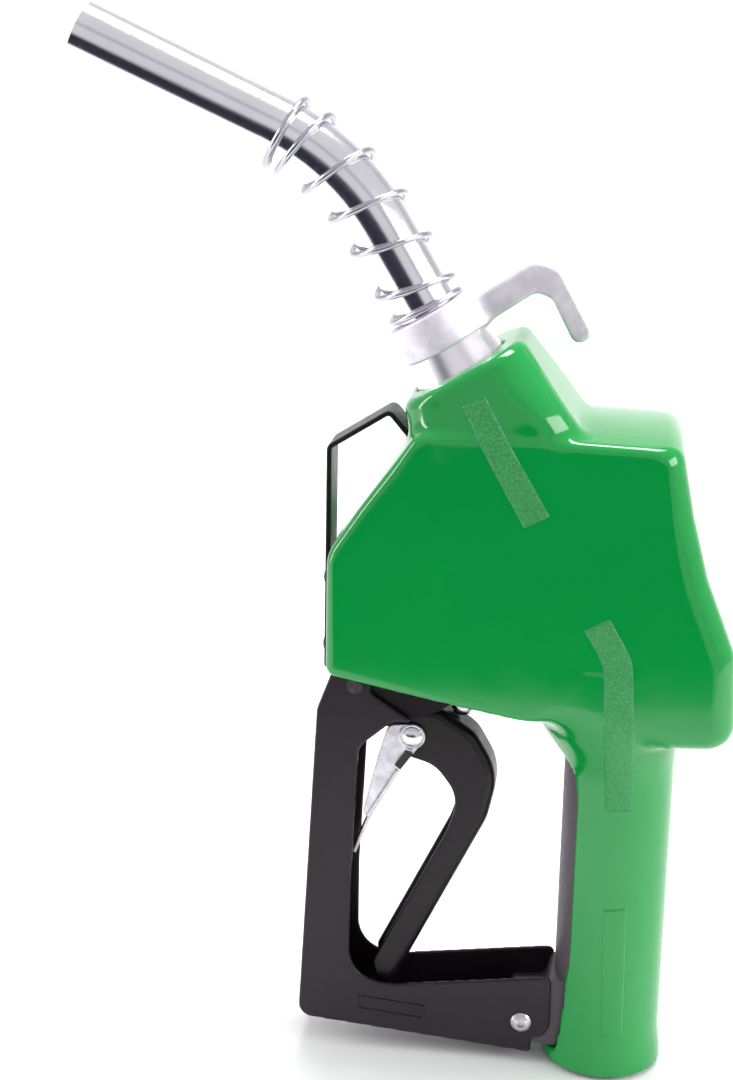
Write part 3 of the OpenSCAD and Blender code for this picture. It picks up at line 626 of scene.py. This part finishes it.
NECK_PANEL = ([(-54.8, 238.1, 0), (-33.4, 200.3, 0)], [(-47.6, 242.2, 0), (-25.3, 204.7, 0)])
GRIP_PANEL = (
    [(-12.8, 167.4, 0), (-5.8, 155.9, 20), (-4.6, 130, 30), (-3, 99.6, 0)],
    [(-4.7, 171.9, 0), (3.4, 158, 20), (5.6, 130, 30), (6.6, 100.3, 0)],
)
LABEL_PANEL = ([(-2.0, 63.7, 0), (-0.5, 14.8, 0)], [(6.5, 64.4, 0), (7.4, 15.6, 0)])
for side, sign in SIDES:
    grip_panel(f"neck_grip_{side}", *NECK_PANEL, sign, 0.32, 84, 18, True)
    grip_panel(f"handle_grip_{side}", *GRIP_PANEL, sign, 0.32, 140, 20, True)
    grip_panel(f"handle_label_{side}", *LABEL_PANEL, sign, 0.12, 50, 12, False)

# ---- Hang-up hook ----
HOOK = rounded([
    (-60.2, 253.4, 0), (-61.2, 259, 0), (-58.6, 268.2, 0), (-53.6, 269.4, 3), (-34.6, 282.2, 7),
    (-26.2, 279.2, 6), (-14.4, 258.6, 3.2), (-20.4, 254, 3.2), (-28.8, 269.6, 3.5),
    (-33.8, 271.6, 4), (-50.6, 260.2, 0),
])


def hook_field(x, y, z):
    """A collar round the bushing with a bent arm."""
    u, w = in_neck(x, z)
    r = np.hypot(u, y)
    edge = 1.0
    side, end = r - 15.2 + edge, np.abs(w - (COLLAR_LOW + COLLAR_TOP) / 2) - 6.35 + edge
    collar = np.minimum(np.maximum(side, end), 0)
    collar = collar + np.hypot(np.maximum(side, 0), np.maximum(end, 0)) - edge
    arm = slab(outline_distance(HOOK, x, z), y, 4.0, 1.5)
    arm = np.where(x < -46, np.maximum(arm, COLLAR_LOW + 0.3 - w), arm)
    return cut(melt(collar, arm, 4.5), np.maximum(r - 12.36, -w), 0.6)


moulded("hook", hook_field, (-81, -16, 244), (-13, 16, 284.5), 0.55,
        "nozzle_body", PAINTS["hook_casting"], ["hang_up_hook"])

# ---- Lever ----
LEVER_BACK = rounded([
    (-69.6, 128.2, 0), (-61, 127.6, 8), (-48.3, 119.3, 14), (-39.8, 104.8, 20), (-43.4, 88, 22),
    (-71.3, 30, 6), (-75.4, 20.8, 3), (-80.8, 20.6, 2),
], closed=False)
LEVER_FRONT = rounded([
    (-80.8, 20.6, 2), (-82.4, 30.6, 4), (-57.2, 83, 14), (-53.2, 95.5, 13), (-62, 107, 12),
    (-71.2, 109.6, 0), (-76, 113, 2), (-76.4, 119.6, 0),
], closed=False)
LEVER = np.vstack([[(-79, 130)], LEVER_BACK, LEVER_FRONT[1:]])


def lever_field(x, y, z):
    """A channel open towards the guard."""
    flat = outline_distance(LEVER, x, z)
    eye = np.hypot(x - PIVOT[0], z - PIVOT[1]) - 5
    # The back is rounded broadly, the open front only a little
    near_back = smooth((6 - line_distance(LEVER_BACK, x, z, False)) / 4)
    outside = slab(np.minimum(flat, eye), y, LEVER_HALF, 1.2 + 2.2 * near_back)
    inner = 2.0 - line_distance(LEVER_BACK, x, z, False)
    hollow = np.maximum(inner, np.abs(y) - 6)
    solid = cut(outside, hollow, 0.5)
    solid = cut(solid, bar(x, y, z, PIVOT, 2.55, -20, 20))
    return cut(solid, bar(x, y, z, RIVET, 2.0, -20, 20))


moulded("lever_body", lever_field, (-85, -8.9, 18.6), (-39, 8.9, 133), 0.6,
        "lever", PAINTS["lever_paint"], ["lever"])

# ---- Guard ----
GUARD_BACK = rounded([
    (-97.3, 142, 0), (-102.8, 127, 8), (-108.3, 9.6, 5), (-24.6, 2.4, 0),
], closed=False)
GUARD_INNER = rounded([
    (-24.6, 8.2, 0), (-20.6, 8.6, 2.5), (-18.2, 13, 2), (-18.2, 32.4, 2.5), (-74, 24.7, 8),
    (-90, 26, 12), (-90.2, 60, 30), (-88, 114, 6), (-76, 124.4, 6), (-67, 123.2, 1),
    (-84.2, 134.2, 2), (-84.2, 152, 0),
], closed=False)
GUARD = np.vstack([[(-91, 152), (-95.4, 146.2), (-96.4, 144.4)], GUARD_BACK, GUARD_INNER])
RACK = np.array([
    point for i in range(4)
    for point in ((-104.6, 60 + 8 * i), (-101, 61 + 8 * i), (-103.4, 67.8 + 8 * i))
])
GUARD_HOLES = (((-89.5, 145.5), 2.1), ((-89.5, 136.5), 2.1), (SCREW, 2.6))
PLATE_LABEL = ((-86.5, 13.4), (-63.0, 18.2))


def guard_field(x, y, z):
    """A channel round the lever, with a rack of notches for the clip."""
    flat = outline_distance(GUARD, x, z)
    outside = slab(flat, y, GUARD_HALF, 0.8)
    inside = np.maximum(np.abs(y) - GUARD_HALF + GUARD_T, GUARD_T - line_distance(GUARD_BACK, x, z, False))
    solid = cut(outside, inside, 0.4)
    teeth = np.maximum(outline_distance(RACK, x, z), np.abs(y) - GUARD_HALF + GUARD_T)
    solid = np.minimum(solid, teeth)
    for at, r in GUARD_HOLES:
        solid = cut(solid, bar(x, y, z, at, r, -20, 20), 0.2)
    return solid


moulded("guard_channel", guard_field, (-110, -14, 0.6), (-17, 14, 153.5), 0.75,
        "nozzle_body", PAINTS["guard_paint"], ["guard"])


def label_field(x, y, z):
    """A raised oblong frame on each side of the guard's lower arm."""
    middle = [(a + b) / 2 for a, b in zip(*PLATE_LABEL)]
    half = [(b - a) / 2 for a, b in zip(*PLATE_LABEL)]
    drop = 0.086 * (x - middle[0])
    off = np.maximum(np.abs(x - middle[0]) - half[0], np.abs(z - middle[1] + drop) - half[1])
    return cut(np.abs(off) - 0.4, 0.45 - np.abs(np.abs(y) - GUARD_HALF), 0.2)


for side, sign in SIDES:
    sides = sorted((sign * (GUARD_HALF - 0.8), sign * (GUARD_HALF + 0.8)))
    moulded(f"guard_label_{side}", label_field, (-88, sides[0], 10.8), (-61.5, sides[1], 20.6), 0.25,
            "nozzle_body", PAINTS["guard_paint"])

# ---- Hanger strap ----
STRAP = band(rounded([
    (-101.2, 140, 0), (-101.2, 218.6, 3), (-80.2, 232, 2.6), (-70.2, 220.4, 0),
], closed=False), 1.7)


def strap_field(x, y, z):
    """A flat bent strip with rounded lower corners."""
    corner = 3.0
    lower = np.hypot(np.maximum(np.abs(y) - 8 + corner, 0), np.maximum(140 + corner - z, 0)) - corner
    solid = slab(outline_distance(STRAP, x, z), y, 8.0, 0.5)
    solid = np.maximum(solid, np.where(z < 150, lower, -1))
    for hole in STRAP_Z:
        solid = cut(solid, np.hypot(y, z - hole) - 2.1 + np.maximum(x + 95, 0) * 10, 0.2)
    return solid


moulded("hanger_loop", strap_field, (-103, -8.8, 138.8), (-68.5, 8.8, 234), 0.5,
        "nozzle_body", PAINTS["strap_paint"], ["hanger_strap"])

# ---- Hold-open clip ----
CLIP_PLATE = rounded([
    (-70.2, 122.4, 0), (-78.4, 121.6, 3.5), (-81.6, 110, 4), (-86.6, 88.6, 1.6),
    (-84.6, 86, 1.2), (-74, 105.6, 0), (-67.6, 113.8, 0),
])
CLIP_EDGE = np.array([(-75.2, 105.1), (-85.3, 87.2)])
CLIP_TIP = (-91.2, 70.6)


def clip_field(x, y, z):
    """A plate on the rivet, with a folded edge and a tongue for the rack."""
    flat = np.minimum(outline_distance(CLIP_PLATE, x, z), np.hypot(x - RIVET[0], z - RIVET[1]) - 4.6)
    plate = slab(flat, y + CLIP_Y + CLIP_T / 2, CLIP_T / 2, 0.25)
    flange = outline_distance(band(CLIP_EDGE, -1.2), x, z)
    flange = slab(flange, y + (CLIP_Y + CLIP_T - 3.5) / 2, (CLIP_Y + CLIP_T + 3.5) / 2, 0.3)
    root = CLIP_EDGE[0] * 0.1 + CLIP_EDGE[1] * 0.9
    tongue = slab(outline_distance(band(np.array([root, CLIP_TIP]), -1.6), x, z), y, 3.5, 0.4)
    # Raised ring pressed round the rivet
    around = np.hypot(x - RIVET[0], z - RIVET[1])
    ring = np.hypot(around - 4.0, (y + CLIP_Y + CLIP_T) * 2.2) - 0.5
    solid = melt(melt(plate, flange, 0.8), tongue, 0.8)
    solid = melt(solid, ring, 0.4)
    return cut(solid, bar(x, y, z, RIVET, 2.05, -20, 20))


moulded("clip_plate", clip_field, (-93.5, -10.6, 69.5), (-64.5, 4.4, 124), 0.34,
        "clip", PAINTS["zinc_plate"], ["hold_open_clip"])


# ---- Spout's wire spring ----
def spine(u):
    """The spout's centre line in the neck's frame, and its outward side."""
    turn = np.clip((u - BEND_AT) / BEND_R, 0, SPOUT_BEND)
    rest = np.maximum(u - BEND_AT - BEND_R * SPOUT_BEND, 0)
    place = np.array([-BEND_R * (1 - cos(turn)) - rest * sin(turn), 0,
                      min(u, BEND_AT) + BEND_R * sin(turn) + rest * cos(turn)])
    return place, np.array([cos(turn), 0, sin(turn)])


def from_neck(points):
    """Points in the neck's frame, in the part's frame."""
    x, y, w = np.asarray(points, float).T
    return np.column_stack([
        NECK[0] + x * cos(NECK_TILT) - w * sin(NECK_TILT), y,
        NECK[1] + x * sin(NECK_TILT) + w * cos(NECK_TILT),
    ])


COIL_TURNS, COIL_R, WIRE_R = 6.6, SPOUT_R + 2.05, 1.05
# Turns counted from the collar, and how far above it each lies
COIL_STATIONS = ((0, 0.5, 1, 1.5, 2, 5, 5.5, 6, 6.6),
                 (1.3, 2.6, 6.2, 12.5, 21.5, 66, 71.4, 74.2, 76.6))


def spout_coil():
    path = []
    for turn in np.linspace(0, COIL_TURNS, int(COIL_TURNS * 40)):
        middle, side = spine(COLLAR_TOP + np.interp(turn, *COIL_STATIONS))
        angle = 2 * pi * turn
        path.append(middle + COIL_R * (cos(angle) * side - sin(angle) * np.array([0, 1, 0])))
    points, faces = tube_mesh(from_neck(path), WIRE_R, 14)
    add_mesh("spout_coil", points, faces, "nozzle_body",
             PAINTS["spring_steel"], ["spout_spring"])


spout_coil()

# ---- Inlet thread ----
THREAD_PITCH, THREAD_TURNS, THREAD_R, THREAD_LOW = 1.814, 8.5, 12.62, 1.2
TURN_STEPS = 64
RIDGE = ((0.0, 0.62), (0.75, 0.08), (0.75, -0.08), (0.0, -0.62), (-0.25, 0.0))


def inlet_thread():
    """The ridge inside the inlet, fading out at both ends; RIDGE is its section, inward and upward."""
    last, m = int(THREAD_TURNS * TURN_STEPS), len(RIDGE)
    points = []
    for k in range(last + 1):
        angle = 2 * pi * k / TURN_STEPS
        fade = smooth(min(k, last - k) / 24)
        for depth, height in RIDGE:
            r = THREAD_R - max(depth, 0) * (0.15 + 0.85 * fade) - min(depth, 0)
            z = THREAD_LOW + THREAD_PITCH * k / TURN_STEPS + height
            points.append((r * cos(angle), r * sin(angle), z))
    faces = [quad[::-1] for quad in ring_quads(last + 1, m)]
    faces += [tuple(range(m)), tuple(reversed(range(last * m, (last + 1) * m)))]
    add_mesh("inlet_thread", points, faces, "nozzle_body", PAINTS["casting"])


inlet_thread()


# ---- Studio ----
def area_light(name, at, aim, size, power):
    data = bpy.data.lights.new(name, "AREA")
    data.shape = "RECTANGLE"
    data.size, data.size_y = size
    data.energy = power
    lamp = bpy.data.objects.new(name, data)
    bpy.context.scene.collection.objects.link(lamp)
    lamp.location = at
    lamp.rotation_euler = (Vector(aim) - Vector(at)).to_track_quat("-Z", "Y").to_euler()


centre = (-0.06, 0, 0.19)
area_light("top", (0.1, 0.25, 1.5), centre, (0.8, 0.5), 18)
area_light("right", (1.26, -0.4, 0.75), centre, (1.3, 0.5), 13)
area_light("left", (-1.5, -0.25, 0.5), centre, (0.25, 1.2), 10)


def studio_world():
    """A white light tent whose dark opening lies ahead and to the left, a little below."""
    world = bpy.data.worlds.new("studio")
    bpy.context.scene.world = world
    world.use_nodes = True
    tree = world.node_tree
    place = tree.nodes.new("ShaderNodeTexCoord").outputs["Generated"]
    nearest = tree.nodes.new("ShaderNodeMath")
    nearest.operation = "MAXIMUM"
    for k, way in enumerate(((-0.44, -0.835, -0.33), (-0.01, -0.955, -0.3))):
        toward = tree.nodes.new("ShaderNodeVectorMath")
        toward.operation = "DOT_PRODUCT"
        toward.inputs[1].default_value = way
        tree.links.new(place, toward.inputs[0])
        tree.links.new(toward.outputs["Value"], nearest.inputs[k])
    ramp = tree.nodes.new("ShaderNodeValToRGB")
    tree.links.new(nearest.outputs[0], ramp.inputs[0])
    stops = ((0.5, (1, 1, 1)), (0.62, (0.66, 0.63, 0.74)), (0.74, (1, 1, 1)), (0.92, (1, 0.99, 1)),
             (0.962, (0.04, 0.036, 0.06)))
    elements = ramp.color_ramp.elements
    for k, (at, tint) in enumerate(stops):
        stop = elements[k] if k < 2 else elements.new(at)
        stop.position, stop.color = at, (*tint, 1)
    shell = tree.nodes["Background"]
    tree.links.new(ramp.outputs[0], shell.inputs[0])
    shell.inputs[1].default_value = 0.72


def sweep_floor():
    """A pale floor that curves up into a backdrop."""
    half, near, far, bend, top = 4.0, -0.365, 0.9, 0.7, 3.0
    line = [(near, 0.0), (far, 0.0)]
    line += [(far + bend * sin(a), bend * (1 - cos(a))) for a in np.linspace(0, pi / 2, 16)[1:]]
    line += [(far + bend, top)]
    low = CAD_BOX[0].z - 0.0015
    points = [(x, y, z + low) for y, z in line for x in (-half, half)]
    faces = [(2 * i, 2 * i + 1, 2 * i + 3, 2 * i + 2) for i in range(len(line) - 1)]
    mesh = bpy.data.meshes.new("studio_floor")
    mesh.from_pydata(points, [], faces)
    mesh.polygons.foreach_set("use_smooth", [True] * len(faces))
    floor = bpy.data.objects.new("studio_floor", mesh)
    bpy.context.scene.collection.objects.link(floor)
    p = Paint("floor_paper", (0.96, 0.96, 0.96), roughness=0.85, Specular_IOR_Level=0.1)
    p.shade(p.noise(300, 3), 0.99, 1.0)
    mesh.materials.append(p.material)


def photo_camera():
    """The photograph's viewpoint, a little above the nozzle and ahead of it."""
    data = bpy.data.cameras.new("view")
    data.sensor_fit = "VERTICAL"
    data.sensor_height = 36
    data.lens = 64.83
    camera = bpy.data.objects.new("view", data)
    bpy.context.scene.collection.objects.link(camera)
    camera.location = (-0.005109, -0.632253, 0.363197)
    camera.rotation_euler = [radians(a) for a in (74.34547, -1.01116, 7.77308)]
    bpy.context.scene.camera = camera


studio_world()
sweep_floor()
photo_camera()
bpy.context.scene.view_settings.view_transform = "Standard"
bpy.context.view_layer.update()
